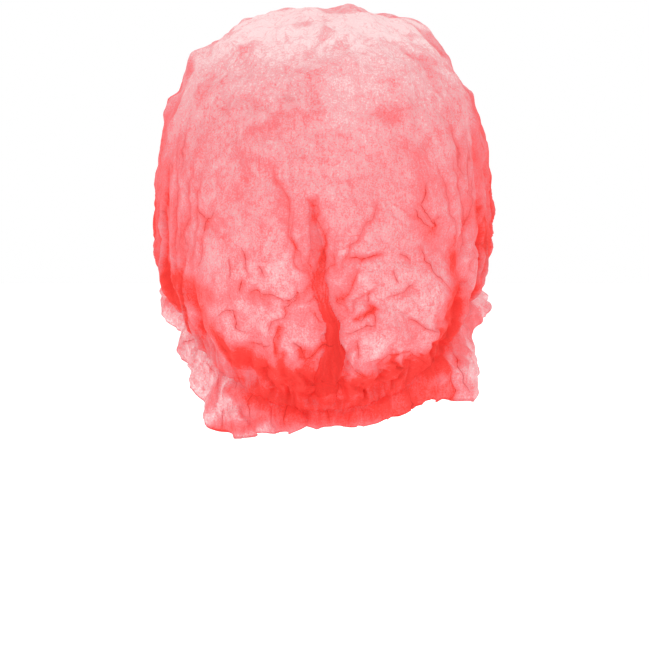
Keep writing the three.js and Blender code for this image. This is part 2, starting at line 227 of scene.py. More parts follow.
# Colour of the cloth by the number of layers
LAYER_COLOURS = (
    (0.2, "#fbf0f0"), (0.9, "#f0babe"), (1.9, "#f08a90"), (4.4, "#f94c46"), (7.0, "#ee3a33")
)
ONE_LAYER_COVER = 0.92  # share of light that one layer stops
THINNEST_COVER = 0.9  # layers: a thinner place stops as much light as this
# Painted shade: a sharp crease and the soft shade darken the colour by multiplying it with this
CREASE_SHADE = "#dccfd1"  # a dark crease multiplies the colour by this
CREASE_LAYERS = 0.9  # layers that it adds
GLOW = 0.36  # share of the light that comes through from behind
# Unevenness of one layer: size in mm, squeeze upwards, detail, roughness, distortion, share of a layer.
# Fibres, threads laid upright, and thick and thin places. The real fibres are finer: these are as coarse
# as the render needs to show them.
FIBRES = (0.75, 1.0, 2.0, 0.75, 0.0, 0.65)
THREADS = (1.3, 0.28, 2.0, 0.6, 0.6, 0.25)
THICK_AND_THIN = (6.0, 1.0, 4.0, 0.65, 0.0, 0.2)
# Fine creases at random: size in mm, detail, roughness, distortion, half width as a share of the noise
LONG_CREASES = (15.0, 2.5, 0.45, 0.0, 0.014)
CRINKLES = (7.0, 2.0, 0.5, 0.4, 0.03)
LONG_CREASE_LAYERS = 0.5
CRINKLE_LAYERS = 0.35
NOISE_RANGE = (0.28, 0.72)  # where most of a noise's values lie
GRAINED_LAYERS = 1.1  # more layers than this are no more uneven
# Places with long creases: size in mm, and the noise values between which the creases begin
CREASED_PLACES = SimpleNamespace(size=24, begin=(0.46, 0.62))
# Rough edge of a drawn crease: size and depth in mm, and the mm from the line between which it fades
CREASE_EDGE = SimpleNamespace(size=1.6, depth=0.5, fade=(0.26, 0.6))

# The studio, in metres and watts: floor, light from all round, and soft lamps with place, size and power
FLOOR = SimpleNamespace(z=-0.19, half=6.0, colour="#f7f7f7", glow=0.5)
SURROUND = 0.78
BACKDROP = 1.0
LAMPS = (
    ("top", (0.1, 0.3, 1.5), 1.4, 6.0),
    ("key", (0.9, 1.2, 0.6), 0.9, 2.6),
    ("fill", (-1.2, 0.9, 0.3), 1.2, 2.2),
    ("back", (0.2, -1.4, 0.8), 1.2, 3.5),
)

# Main folds up the crown: angle, lean and width in degrees, depth in mm, low and high shares
FOLDS = (
    (17, 7, 3.2, 3.8, 0.00, 0.34), (29, -6, 3.4, 3.4, 0.04, 0.30), (44, 5, 4.0, 4.0, 0.06, 0.42),
    (61, 5, 4.2, 4.2, 0.05, 0.56), (74, 3, 3.8, 4.2, 0.05, 0.66), (86, 4, 3.8, 3.6, 0.05, 0.72),
    (99, 3, 4.0, 4.0, 0.08, 0.70), (113, 2, 4.4, 3.4, 0.08, 0.60), (130, -3, 5.2, 3.4, 0.08, 0.50),
    (152, -4, 5.6, 3.6, 0.08, 0.52), (178, 5, 6.0, 3.6, 0.08, 0.56), (-18, -8, 3.2, 3.6, 0.00, 0.32),
    (-33, 6, 3.6, 3.8, 0.04, 0.36), (-48, -6, 4.0, 4.2, 0.05, 0.48), (-63, -4, 4.2, 4.2, 0.05, 0.60),
    (-76, -2, 3.8, 3.6, 0.05, 0.70), (-89, -4, 3.8, 4.2, 0.06, 0.68), (-104, -2, 4.2, 3.6, 0.08, 0.62),
    (-123, 3, 5.0, 3.4, 0.08, 0.50), (-147, 4, 5.6, 3.6, 0.08, 0.54),
)
# Puffs and dents: x in mm, share, 1 on the forehead side, span and height in mm
PUFFS = (
    (-14, 0.955, 0, 10, 4.6), (17, 0.95, 1, 12, 2.4), (-44, 0.86, 1, 14, 3.4), (44, 0.85, 0, 15, 2.6),
    (58, 0.80, 0, 14, -2.6), (-62, 0.79, 1, 15, 3.0), (-72, 0.66, 1, 12, -2.4), (74, 0.70, 1, 12, 3.0),
    (30, 0.70, 0, 20, -2.6), (-30, 0.66, 0, 20, 2.6), (8, 0.74, 1, 24, -3.0), (36, 0.34, 0, 18, 2.8),
    (-40, 0.26, 0, 18, 3.0), (-6, 0.54, 0, 22, -2.2),
)
# Lobes of the frill: angle and spread in degrees, more drop and flare in mm, and how far its gathers
# open, from 0 to 1
LOBES = (
    (46, 20, 15, 4, 1.0), (68, 8, 2, 1, 0.4), (93, 10, -5, 15, 0.0), (0, 16, -7, 0, 0.0),
    (-28, 14, -2, 0, 0.0), (-64, 12, 18, 12, 0.8), (-91, 9, -5, 15, 0.0), (128, 12, 2, 1, 0.3),
    (-134, 12, 2, 1, 0.3),
)
# What shows from the nape is drawn as broken lines in pixels of the photograph's frame.
# Sharp creases
CREASES = (
    ((247, 291), (260, 292), (275, 295), (285, 302), (300, 290), (310, 284)),
    ((300, 292), (286, 310), (280, 322), (272, 326), (267, 337)), ((277, 330), (275, 342), (279, 357)),
    ((335, 342), (325, 346), (305, 355), (297, 356)), ((290, 340), (305, 355)),
    ((217, 312), (237, 311), (235, 327), (245, 332)), ((245, 344), (272, 347)), ((220, 327), (222, 340)),
    ((242, 242), (250, 265), (253, 274)), ((232, 255), (231, 282)), ((242, 280), (240, 296)),
    ((350, 256), (365, 255), (384, 251)), ((385, 300), (400, 292), (412, 289)),
    ((352, 320), (357, 325), (362, 317), (376, 310)), ((345, 335), (360, 332), (370, 327), (370, 312)),
    ((357, 342), (362, 357)), ((350, 360), (367, 375)),
    ((370, 360), (387, 359), (392, 352), (415, 355), (425, 365)), ((410, 320), (424, 324), (437, 330)),
    ((415, 242), (425, 257), (432, 277), (450, 287)), ((425, 180), (420, 200), (432, 220), (430, 236)),
    ((415, 205), (428, 230)), ((440, 214), (430, 230)), ((367, 288), (370, 306)),
    ((314, 312), (322, 327)), ((196, 207), (209, 220)), ((217, 207), (209, 220), (201, 236)),
    ((262, 262), (268, 280)), ((391, 270), (396, 284)), ((400, 250), (412, 264)),
)
# Wavy strands that run up from the bundle
STRANDS = (
    ((275, 170), (283, 200), (286, 232), (294, 246), (305, 258), (310, 272), (316, 288)),
    ((290, 214), (291, 236), (300, 262), (313, 282)), ((315, 246), (312, 262), (320, 282)),
    ((310, 200), (322, 220), (326, 240), (322, 262), (321, 284)),
    ((331, 228), (325, 250), (326, 270), (324, 288)), ((338, 240), (330, 267), (330, 290)),
    ((376, 198), (372, 212), (360, 228), (348, 250), (336, 268)), ((356, 266), (347, 290), (338, 312)),
    ((372, 282), (356, 300), (342, 318)), ((300, 300), (314, 296), (320, 302)),
)
# Long pleats at the two sides
SIDE_PLEATS = (
    ((197, 150), (192, 180), (185, 205), (181, 235), (183, 272)),
    ((180, 130), (177, 160), (174, 200), (176, 235), (178, 272)),
    ((170, 150), (165, 180), (163, 210), (166, 240), (172, 276)),
    ((204, 170), (197, 205), (190, 240), (190, 272)), ((203, 234), (198, 250), (195, 270)),
    ((189, 118), (184, 150), (181, 178)),
    ((454, 155), (462, 195), (469, 220), (463, 240), (456, 262), (452, 278)),
    ((437, 160), (450, 200), (455, 224), (455, 262)),
    ((475, 142), (476, 200), (481, 225), (474, 262), (474, 284)),
    ((466, 130), (469, 170), (473, 205), (468, 240), (463, 268)), ((490, 215), (489, 245), (482, 287)),
    ((452, 120), (461, 150), (464, 180)),
)
# Soft folds: line, half width in mm, layers of cloth
SOFT_FOLDS = (
    (((378, 114), (396, 120)), 4.4, 1.0), (((250, 131), (264, 128), (277, 124)), 3.0, 0.8),
    (((268, 168), (280, 190), (286, 210)), 2.4, 0.5), (((255, 296), (268, 300)), 4.2, 1.6),
    (((352, 322), (374, 311)), 1.7, 2.4), (((279, 334), (278, 352)), 1.5, 2.2),
    (((285, 352), (284, 370)), 2.0, 2.4), (((399, 354), (397, 374)), 2.2, 2.2),
    (((300, 352), (332, 345)), 2.2, 1.9), (((340, 302), (352, 280)), 2.6, 1.4),
    (((228, 300), (242, 288)), 4.0, 0.5), (((350, 257), (382, 252)), 2.2, 1.1),
    (((312, 225), (322, 285)), 8.0, 0.7), (((326, 296), (334, 330), (332, 374)), 9.0, 1.1),
    (((270, 310), (290, 330)), 12.0, 0.35), (((370, 330), (410, 335)), 12.0, 0.25),
    (((410, 150), (430, 200), (436, 250)), 12.0, 0.5),
)
# Cloth heaped along the hem: line, half width in mm, layers of cloth
HEAPS = (
    (((166, 281), (190, 286), (210, 298)), 5.6, 2.3), (((172, 298), (198, 296)), 5.5, 1.8),
    (((192, 300), (203, 322), (222, 346), (252, 368)), 5.0, 2.5),
    (((236, 360), (262, 372), (300, 380), (330, 384), (345, 390), (400, 380), (432, 364)), 7.0, 3.4),
    (((262, 378), (300, 374), (330, 372)), 6.5, 1.6),
    (((262, 386), (300, 397), (340, 403), (385, 396), (425, 382)), 6.0, 2.5),
    (((432, 364), (449, 338), (456, 312), (459, 292)), 5.4, 3.0),
    (((459, 300), (458, 278), (456, 258)), 3.8, 2.0), (((457, 270), (455, 240)), 2.8, 0.8),
    (((464, 292), (472, 310), (474, 332)), 5.0, 1.4),
    (((256, 398), (300, 412), (340, 417), (400, 408), (432, 394)), 9.5, 3.2),
    (((216, 430), (250, 426), (275, 412)), 3.6, 1.8), (((444, 374), (452, 392), (449, 408)), 3.4, 1.8),
    (((224, 368), (216, 386), (210, 408)), 2.2, 1.3),
    (((240, 374), (230, 390), (238, 401), (244, 415)), 2.4, 1.4),
    (((470, 322), (462, 344), (457, 360)), 3.0, 1.4),
)
# Sharp creases of the frill
FRILL_CREASES = (
    ((232, 366), (238, 378), (235, 390)), ((222, 408), (220, 421), (221, 432)),
    ((287, 398), (288, 412), (286, 426)), ((182, 345), (197, 338)), ((205, 362), (214, 372)),
    ((452, 350), (461, 372), (467, 394)), ((446, 372), (455, 392), (450, 407)),
    ((256, 388), (246, 404), (250, 420)), ((408, 390), (414, 404), (410, 414)),
    ((330, 392), (326, 408), (332, 424)),
)
# Pleats of the bundle, from the hem upwards: line, half width in mm at its low end and its high end,
# height in mm
PLEATS = (
    (((325, 396), (330, 374), (333, 355), (335, 340), (331, 322), (324, 305), (317, 288)), 5.2, 2.6, 5.0),
    (((334, 376), (338, 348), (335, 326), (330, 308), (327, 290), (322, 272)), 3.8, 1.4, 4.4),
    (((318, 394), (323, 372), (328, 350), (326, 334)), 3.8, 2.2, 4.0),
    (((321, 296), (318, 276), (319, 254), (314, 232), (311, 206)), 4.0, 2.0, 1.8),
)


def smoothstep(value, low, high):
    """0 below low, 1 above high, and a smooth rise between them."""
    t = np.clip((value - low) / (high - low), 0, 1)
    return t * t * (3 - 2 * t)


def blend(first, last, t):
    """Straight blend from first at t = 0 to last at t = 1."""
    return first + (last - first) * t


def bell(distance, width):
    """1 at distance 0, falling to about 0.02 at twice the width."""
    return np.exp(-((distance / width) ** 2))


def length_of(vectors):
    """Length of each vector."""
    return np.linalg.norm(vectors, axis=-1)


def unit(vectors):
    """Vectors of length 1 that point the same way."""
    return vectors / np.linalg.norm(vectors, axis=-1, keepdims=True)


def all_round(count, crowding=0.0):
    """Angles of a number of points all round, crowded at angle 0."""
    turn = np.arange(count) * 2 * np.pi / count
    return turn - crowding * np.sin(turn)


def turn_between(angle, other):
    """Signed difference of two angles in radians, from -pi to pi."""
    return (angle - other + np.pi) % (2 * np.pi) - np.pi


def cloud(points, size, seed):
    """Smooth random field from about -1 to 1: random values on a cubic lattice with cells of the given
    size, turned a random way, and blended with smooth weights between the eight corners round each
    point."""
    cells = 32
    random = np.random.default_rng(seed)
    lattice = random.uniform(-1, 1, (cells, cells, cells))
    turned, _ = np.linalg.qr(random.normal(size=(3, 3)))
    scaled = points @ turned / size
    cell = np.floor(scaled).astype(int)
    weight = smoothstep(scaled - cell, 0, 1)
    total = np.zeros(points.shape[:-1])
    for corner in np.ndindex(2, 2, 2):
        share = np.prod(np.where(corner, weight, 1 - weight), axis=-1)
        at = (cell + corner) % cells
        total += share * lattice[at[..., 0], at[..., 1], at[..., 2]]
    return total


def clouds(points, rows):
    """Sum of random fields, each with its strength, size and seed."""
    return sum(strength * cloud(points, size, seed) for strength, size, seed in rows)


def wander(points, size, seeds):
    """Random steps from about -1 to 1, with one field for each way."""
    return np.stack([cloud(points, size, seed) for seed in seeds], axis=-1)


def crumple(points, folds, seed):
    """Crumpled sheet: the sheet is folded many times, each time in straight parallel creases with flat
    strips between (a triangle wave across a random direction). After each fold the points slide along
    the creases by a share of the fold, so that later creases run in zigzags. Gives the height in mm, how
    much of a crease lies at each point from 0 to 1, and the points as slid."""
    random = np.random.default_rng(seed)
    place = points.astype(float).copy()
    height = np.zeros(points.shape[:-1])
    crease = np.zeros(points.shape[:-1])
    for width, depth, line in folds:
        across = unit(random.normal(size=3) * (1.0, 1.0, 0.7))
        along = unit(np.cross(across, random.normal(size=3)))
        turns = place @ across / width + random.uniform()
        wave = np.abs(2 * (turns - np.floor(turns)) - 1)
        height += depth * (wave - 0.5)
        to_crease = np.minimum(wave, 1 - wave) * width / 2
        crease = np.maximum(crease, line * bell(to_crease, CREASE_WIDTH))
        place += along * (SLIDE * width * (wave[..., None] - 0.5))
    return height, crease, place


def ring(angle, size, z):
    """Level ring at height z: an ellipse whose depth differs at the back and the front."""
    towards_back = np.cos(angle)
    depth = np.where(towards_back > 0, size.back, size.front)
    return np.stack((size.half_width * np.sin(angle), depth * towards_back, z + 0 * angle), axis=-1)


def hem_height(angle):
    """Height of the hem: a smooth curve, lowest at the nape and highest at the forehead."""
    towards_back = np.cos(angle)
    slope = (HEM.back_drop + HEM.front_rise) / 2
    bend = (HEM.back_drop - HEM.front_rise) / 2
    return -towards_back * (slope + bend * towards_back)


def outwards(angle):
    """Level direction square to the hem, away from the middle."""
    along = unit(ring(angle + 0.01, HEM, 0) - ring(angle - 0.01, HEM, 0))
    return np.stack((-along[..., 1], along[..., 0], np.zeros_like(angle)), axis=-1)


def plain_crown(angle, share):
    """Smooth crown. Above the widest line a superellipse dome narrows to the top. Below it the cloth
    tucks in to the hem along part of another superellipse."""
    towards_back = np.cos(angle)
    lift = np.where(towards_back > 0, CROWN.lift_back, CROWN.lift_front)
    belly_z = hem_height(angle) + blend(CROWN.lift_side, lift, np.abs(towards_back) ** CROWN.lift_power)
    belly = ring(angle, CROWN, belly_z)
    rim = ring(angle, HEM, hem_height(angle) - LAP.below) + outwards(angle) * LAP.out

    turn = (1 - np.clip(share / CROWN.tuck_share, 0, 1)) * CROWN.tuck_turn
    power = 2 / CROWN.tuck_power
    inwards = (1 - np.cos(turn) ** power) / (1 - np.cos(CROWN.tuck_turn) ** power)
    down = np.sin(turn) ** power / np.sin(CROWN.tuck_turn) ** power
    tuck = np.stack((
        blend(belly[..., 0], rim[..., 0], inwards),
        blend(belly[..., 1], rim[..., 1], inwards),
        blend(belly[..., 2], rim[..., 2], down),
    ), axis=-1)

    turn = np.clip((share - CROWN.tuck_share) / (1 - CROWN.tuck_share), 0, 1) * np.pi / 2
    out = np.cos(turn) ** (2 / CROWN.dome_power)
    up = np.sin(turn) ** (2 / CROWN.dome_power)
    dome = np.stack((
        belly[..., 0] * out,
        blend(CROWN.top_shift, belly[..., 1], out),
        blend(belly[..., 2], CROWN.top, up),
    ), axis=-1)
    return np.where((share < CROWN.tuck_share)[..., None], tuck, dome)


def grid_normals(points):
    """Outward normals of a grid that closes round: the cross product of the way up and the way round."""
    along = np.roll(points, -1, axis=1) - np.roll(points, 1, axis=1)
    up = np.gradient(points, axis=0)
    return unit(np.cross(up, along))


def wandering_wave(angle, size, count):
    """Wave round the cap whose spacing drifts slowly to and fro."""
    drift = size.wander * np.sin(size.drifts * angle + math.radians(size.start))
    return np.cos(count * angle + drift)


def photo_place(points):
    """Pixel at which the photograph's camera sees each point: its distance across and up from the
    target, enlarged by how near it is."""
    towards = np.array((0, math.cos(VIEW_RISE), math.sin(VIEW_RISE)))
    upwards = np.array((0, -math.sin(VIEW_RISE), math.cos(VIEW_RISE)))
    off = points - VIEW_TARGET
    scale = VIEW_DISTANCE / (VIEW_DISTANCE - off @ towards) / PIXEL
    middle = PHOTO_SIDE / 2
    return np.stack((middle - off[..., 0] * scale, middle - off @ upwards * scale), axis=-1)


def from_line(places, line):
    """Step in mm from a broken line in pixels to each place in the photograph, its length, and a share
    that is 1 along the line's middle and fades to 0 at its ends."""
    nearest = np.full(places.shape[:-1], np.inf)
    offset = np.zeros_like(places)
    reached = np.zeros_like(nearest)
    corners = np.array(line, float)
    passed = 0.0
    for start, end in zip(corners[:-1], corners[1:]):
        step = end - start
        along = np.clip((places - start) @ step / (step @ step), 0, 1)
        off = places - start - along[..., None] * step
        gap = length_of(off)
        nearer = gap < nearest
        nearest[nearer] = gap[nearer]
        offset[nearer] = off[nearer]
        length = length_of(step)
        reached[nearer] = passed + along[nearer] * length
        passed += length
    fade = 1 - (2 * reached / passed - 1) ** 4
    return offset * PIXEL, nearest * PIXEL, fade


def draw_lines(places, wiggle, tables, nape):
    """Draws tables of lines on a surface, each with its look. A line is a ridge with a bell section, a
    strip of layers along it, and a halo that fades away from it, most of it below. Gives the rise, the
    layers, and for each place the step to the nearest line with its painted shade."""
    shape = places.shape[:-1]
    rise = np.zeros(shape)
    layers = np.zeros(shape)
    nearest = np.full(shape, np.inf)
    line_steps = np.zeros(shape + (3,))
    for lines, look in tables:
        for line in lines:
            offset, gap, fade = from_line(places + look.wander * wiggle, line)
            rise += look.ridge * bell(gap, RIDGE_WIDTH) * fade * nape
            below = smoothstep(offset[..., 1] / (gap + 0.1), -0.7, 0.7)
            strip = look.heap * bell(gap, look.width) * fade
            halo = look.halo * (0.4 + 1.4 * below) * np.exp(-gap / HALO_REACH)
            layers += (strip + halo) * nape
            nearer = gap < nearest
            nearest[nearer] = gap[nearer]
            darkness = look.shade * fade * nape * (1 - smoothstep(gap, *LINE_REACH))
            line_steps[nearer] = np.dstack((offset, darkness))[nearer]
    return rise, layers, line_steps


def soft_sum(places, lines, wander):
    """Layers of cloth that soft lines heap up at each place: a bell across each line, its edges moved by
    the wander, where the largest counts most."""
    total = np.zeros(places.shape[:-1])
    for line, width, more in lines:
        _, gap, _ = from_line(places, line)
        total += (more * bell(gap * (1 + wander), width)) ** 3
    return np.cbrt(total)


def even_shares(count):
    """Shares from hem to top by steps along the cloth, measured at the nape, side and forehead: close in
    the low part and wide above it."""
    shares = np.linspace(0, TOP_SHARE, 3000)
    length = np.zeros_like(shares)
    for angle in (0.0, np.pi / 2, np.pi):
        path = plain_crown(np.full_like(shares, angle), shares)
        length[1:] += np.cumsum(length_of(np.diff(path, axis=0)))
    along = np.interp(np.linspace(0, 1, count), (0, LOW_ROWS, 1), (0, LOW_PART, 1))
    return np.interp(along * length[-1], length, shares)


def fold_shape(angle, share, fold):
    """How much of a fold lies at each point: a bell across it that drifts sideways and fades at its ends."""
    centre, lean, width, _, low, high = fold
    along = (share - low) / (high - low)
    off = turn_between(angle, np.radians(centre + lean * along))
    fade = smoothstep(along, -0.1, 0.25) * (1 - smoothstep(along, 0.6, 1.1))
    return fade * bell(off, math.radians(width))


def fine_pleats(size):
    """Random narrow folds above the hem, in the columns of FOLDS: longer and closer at the sides."""
    random = np.random.default_rng(size.seed)
    for _ in range(size.count):
        side = random.choice((-1, 1))
        angle = side * (size.angle + size.spread * random.normal())
        sideways = abs(math.sin(math.radians(angle)))
        high = random.uniform(*size.reach)
        high += size.side_reach * sideways**4 * random.uniform(*size.side_vary)
        lean = random.uniform(-size.lean, size.lean)
        width = random.uniform(*size.width)
        depth = random.uniform(*size.depth)
        yield angle, lean, width, depth, 0.0, high


def lay_crown():
    """The crown's cloth before it is folded: angle and share of each point, its smooth place and normal,
    its crumple, how far it lies above the hem in mm, how much of it is on the nape side, and how loose it
    is, from 0 to 1: looser in places, and above the hem."""
    angle, share = np.meshgrid(all_round(CROWN_COLUMNS, CROWN_CROWDING), even_shares(CROWN_ROWS))
    plain = plain_crown(angle, share)
    height, crease, slid = crumple(plain, CROWN_CRUMPLE, CROWN_CRUMPLE_SEED)
    above_hem = length_of(plain - plain[:1])
    loose = blend(LOOSE.least, 1, smoothstep(clouds(plain, LOOSE.field), *LOOSE.begin))
    loose = np.maximum(loose, 1 - smoothstep(above_hem, *LOOSE.above_hem))
    loose *= 1 - LOOSE.loss * smoothstep(share, *LOOSE.top)
    return SimpleNamespace(
        angle=angle, share=share, plain=plain, normal=grid_normals(plain), height=height, crease=crease,
        slid=slid, above_hem=above_hem, nape=smoothstep(plain[..., 1], *NAPE), loose=loose,
    )


def fold_crown(cloth):
    """Relief and layers from the gathers, the main folds, the fine pleats and the puffs. Folds follow an
    angle that zigzags with the crumple."""
    depth = np.where(cloth.slid[..., 1] > 0, CROWN.back, CROWN.front)
    bent_angle = np.arctan2(cloth.slid[..., 0] / CROWN.half_width, cloth.slid[..., 1] / depth)
    half_bent = cloth.angle + BENT * turn_between(bent_angle, cloth.angle)

    relief = -GATHERS.depth * (0.5 - 0.5 * wandering_wave(cloth.angle, GATHERS, GATHERS.count))
    relief *= 1 - smoothstep(cloth.share, *GATHERS.fade)
    layers = np.ones_like(cloth.share)
    for fold in FOLDS:
        shape = fold_shape(half_bent, cloth.share, fold)
        relief -= fold[3] * shape
        layers += FOLD_LAYERS * shape**2
    for pleat in fine_pleats(FINE_PLEATS):
        shape = fold_shape(bent_angle, cloth.share, pleat)
        relief -= pleat[3] * shape
        layers += PLEAT_LAYERS * shape
    for x, puff_share, front, span, rise in PUFFS:
        reach = plain_crown(np.array(np.pi / 2), np.array(puff_share))[0]
        turn = math.asin(np.clip(x / reach, -1, 1))
        centre = plain_crown(np.array(np.pi - turn if front else turn), np.array(puff_share))
        relief += rise * bell(length_of(cloth.plain - centre), span)
    relief += cloth.height * cloth.loose
    relief += clouds(cloth.plain, CROWN_RELIEF) * smoothstep(cloth.share, *RELIEF_BEGIN)
    layers += CRUMPLE_LAYERS * cloth.crease * cloth.loose**2
    return relief, layers


def heap_crown(cloth, place):
    """Layers of cloth heaped along the hem, in soft folds and in long pleats at the sides, with cloudy
    patches and the changes up the crown: a denser middle that is painted shade, and a paler top that is
    partly thinner cloth and partly painted light from above."""
    ragged = clouds(cloth.plain, CROWN_EDGES)
    layers = soft_sum(place, SOFT_FOLDS, ragged) * cloth.nape
    gathered = cloth.above_hem * (1 + ragged)
    front_heap = (FRONT_HEAP.crown + clouds(cloth.slid, CROWN_FRONT_HEAP)) * bell(gathered, FRONT_HEAP.reach)
    nape_heap = soft_sum(photo_place(cloth.plain), HEAPS, ragged)
    nape_heap *= 1 + clouds(cloth.slid, CROWN_NAPE_HEAP)
    layers += blend(front_heap, nape_heap, smoothstep(cloth.plain[..., 1], *NAPE_HEAPS))

    streaks = clouds(cloth.plain * UPRIGHT, SIDE_STREAKS) + clouds(cloth.plain, SIDE_BLOTCHES)
    begin = blend(SIDES.low, SIDES.high, smoothstep(cloth.share, *SIDES.narrow))
    sides = smoothstep(np.abs(np.sin(cloth.angle)) + SIDES.ragged * streaks, begin, 1.0)
    sides *= 1 - SIDES.loss * smoothstep(cloth.share, *SIDES.thin)
    sides *= 1 - smoothstep(cloth.share, *SIDES.end)
    layers += sides * (SIDES.layers + SIDES.streaks * streaks)

    layers += PATCH_LAYERS * smoothstep(clouds(cloth.slid, CROWN_PATCHES), *PATCHES_BEGIN)
    layers += clouds(cloth.plain, CROWN_MOTTLE)
    # Painted light as density: a denser middle for shade, and a paler top for light falling from above
    for more, low, high in CROWN_TONES_AND_PAINTED_LIGHT:
        layers += more * smoothstep(cloth.share, low, high)
    layers += TOP.layers * smoothstep(cloth.share + clouds(cloth.plain, TOP_EDGE), *TOP.begin)
    return layers


def make_crown_surface():
    """Crown: the smooth form moved along its normals by gathers, folds, puffs, creases and a crumple.
    Gives the points, the layers of cloth, the soft shade and the steps from the nearest crease."""
    cloth = lay_crown()
    place = photo_place(blend(cloth.plain, cloth.slid, DRAWN_BENT))
    wiggle = wander(cloth.plain, LINE_WANDER_SIZE, LINE_WANDER_SEEDS)
    relief, layers = fold_crown(cloth)
    rise, more, lines = draw_lines(place, wiggle, (
        (CREASES, CREASE_LOOK), (STRANDS, STRAND_LOOK), (SIDE_PLEATS, SIDE_PLEAT_LOOK),
    ), cloth.nape)
    relief += rise
    layers += more + heap_crown(cloth, place)
    least = blend(THINNEST.low_crown, THINNEST.crown, smoothstep(cloth.share, *THINNEST.change))
    layers = np.maximum(layers, least)

    relief *= smoothstep(cloth.share, 0, HELD_SHARE)
    pinch = np.cos(GATHER_COUNT * cloth.angle + clouds(cloth.slid, GATHER_DRIFT))
    held = 1 - smoothstep(cloth.above_hem, *HELD.reach)
    relief += held * (HELD.depth * pinch + clouds(cloth.slid, GATHER_PUFFS) + HELD.puff)
    layers -= HELD.layers * held * pinch
    points = cloth.plain + cloth.normal * relief[..., None]
    # Painted shade in the crumple's creases
    shade = CRUMPLE_SHADE * cloth.crease * cloth.loose**2
    return points, np.maximum(layers, THINNEST.crown), shade, lines


def lobe_sum(angle, column):
    """Sum of the frill's lobes at each angle, for one column of their table."""
    total = np.zeros_like(angle)
    for lobe in LOBES:
        total += lobe[column] * bell(turn_between(angle, math.radians(lobe[0])), math.radians(lobe[1]))
    return total


def make_frill_surface():
    """Frill: from the hem it swings out, curls back under and ripples more towards its free edge, which
    is ragged. Close gathers run down it from the hem, and open out in the large lobes. Rows go from the
    free edge up to the hem."""
    angle, along = np.meshgrid(all_round(FRILL_COLUMNS, FRILL_CROWDING), np.linspace(1, 0, FRILL_ROWS))
    on_hem = ring(angle, HEM, hem_height(angle))
    drop = (FRILL.drop - 1 + lobe_sum(angle, 2) + clouds(on_hem, FRILL_EDGE)) * along
    flare = FRILL.flare + lobe_sum(angle, 3)
    ripple = FRILL.wave_depth * wandering_wave(angle, FRILL, FRILL.waves)
    out = flare * np.sin(np.pi * FRILL.curl * along) + ripple * along + (LAP.out - 0.5) * (1 - along) ** 2
    z = hem_height(angle) - blend(LAP.below - 1, HEM.height / 2, along) - drop
    outward = outwards(angle)
    plain = ring(angle, HEM, z) + outward * out[..., None]
    height, crease, slid = crumple(plain, FRILL_CRUMPLE, FRILL_CRUMPLE_SEED)

    opened = np.clip(lobe_sum(angle, 4), 0, 1) * along
    phase = RUFFLES.count * angle + clouds(on_hem, RUFFLE_LEAN) * along + clouds(slid, RUFFLE_DRIFT)
    deep = RUFFLES.depth * (1 - RUFFLES.opening * opened) * smoothstep(along, 0, RUFFLES.begin)
    deep *= 1 + clouds(slid, RUFFLE_DEPTHS)
    level = np.stack((outward[..., 1], -outward[..., 0], np.zeros_like(angle)), axis=-1)
    billow = clouds(slid, FRILL_BILLOW) + RUFFLES.crumple * height
    billow *= smoothstep(along, 0, RUFFLES.billow_begin)
    points = plain + outward * (deep * np.cos(phase) + billow)[..., None]
    points = points + level * (0.5 * deep * np.sin(2 * phase + 0.8))[..., None]

    place = photo_place(plain)
    ragged = clouds(plain, FRILL_HEAP_EDGES)
    away = length_of(plain - on_hem)
    front_heap = FRONT_HEAP.frill * bell(away * (1 + ragged), FRONT_HEAP.frill_reach)
    nape_heap = soft_sum(place, HEAPS, ragged) * (1 + clouds(plain, FRILL_NAPE_HEAP))
    nape = smoothstep(plain[..., 1], *NAPE_HEAPS)
    layers = 0.9 + blend(front_heap, nape_heap, nape) + clouds(plain, FRILL_MOTTLE) + 0.3 * crease
    layers += FREE_EDGE.layers * smoothstep(along, FREE_EDGE.begin, 1.0)
    # Painted shade in the crumple's creases and along the free edge
    shade = 0.15 * crease + FREE_EDGE.shade * smoothstep(along, FREE_EDGE.shade_begin, 1.0)
    _, more, lines = draw_lines(place, 0.0, ((FRILL_CREASES, FRILL_CREASE_LOOK),), nape)
    return points, np.maximum(layers + more, THINNEST.frill), shade, lines


def make_hem_surface():
    """Hem: a soft band carried round the hairline, its section a flat oval, crossed by irregular gathers
    that lean to and fro."""
    angle, section = np.meshgrid(all_round(HEM_COLUMNS), all_round(HEM_ROWS))
    on_hem = ring(angle, HEM, hem_height(angle))
    rise = np.stack((0 * angle, 0 * angle, HEM.height / 2 * np.sin(section)), axis=-1)
    phase = GATHER_COUNT * angle + clouds(on_hem + rise, HEM_LEAN) + clouds(on_hem, HEM_DRIFT)
    gathers = 0.5 * np.cos(phase)
    gathers += clouds(on_hem + 0.6 * rise, HEM_WRINKLES) + clouds(on_hem, HEM_BUMPS)
    out = (HEM.thickness / 2 - 0.4 + 0.5 * gathers) * np.cos(section)
    up = (HEM.height / 2 + 1.2 + 0.4 * gathers) * np.sin(section)
    points = on_hem + outwards(angle) * out[..., None] + np.array((0, 0, 1)) * up[..., None]
    nape_heap = 1.4 + soft_sum(photo_place(points), HEAPS, clouds(points, HEM_HEAP_EDGES))
    front_heap = FRONT_HEAP.hem + clouds(points, HEM_FRONT_HEAP)
    layers = blend(front_heap, nape_heap, smoothstep(on_hem[..., 1], *NAPE_HEAPS)) + 0.2 * np.cos(phase)
    # The third value is painted shade in the hollows between the gathers
    return points, np.maximum(layers, THINNEST.hem), 0.1 * smoothstep(-np.cos(phase), 0.5, 1)


